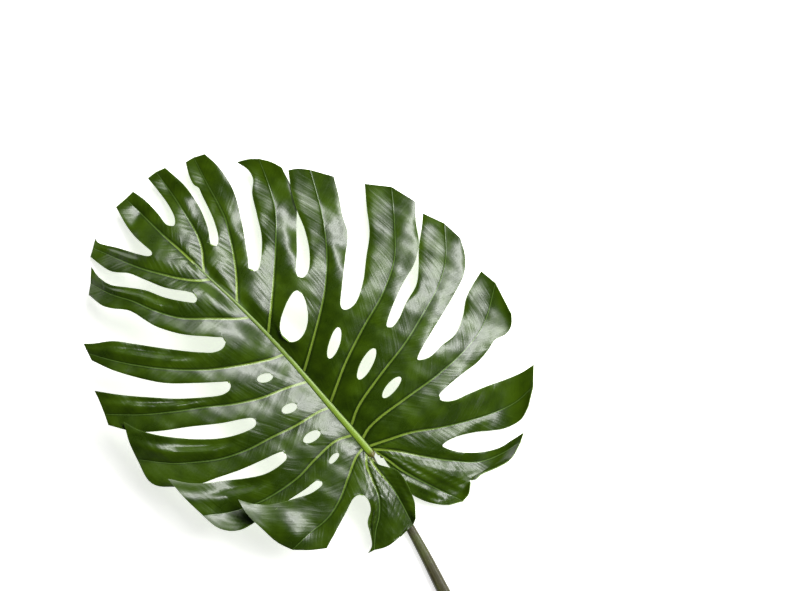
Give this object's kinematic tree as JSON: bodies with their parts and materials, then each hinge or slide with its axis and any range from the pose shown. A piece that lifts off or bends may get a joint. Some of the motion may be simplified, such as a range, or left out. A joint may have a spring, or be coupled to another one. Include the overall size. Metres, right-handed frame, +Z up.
{
  "type": "monstera leaf",
  "caption": "Cut monstera leaf lying face up: domed heart-shaped blade with deep slits and holes beside the midrib, on its bent round stalk.",
  "frame": {"origin": "on the surface that the leaf lies on, under the middle of its box", "axes": "+Z up, out of the blade's upper side; +Y from the stalk towards the blade's tip; +X to the leaf's right seen from above"},
  "size_m": [0.406, 0.6612, 0.0575],
  "materials": {
    "leaf_blade": "waxy, glossy upper side; duller and paler below",
    "leaf_stalk": "satin, smooth skin"
  },
  "bodies": {
    "root": {"leaf_blade": "leaf_blade", "leaf_stalk": "leaf_stalk"}
  },
  "joints": []
}
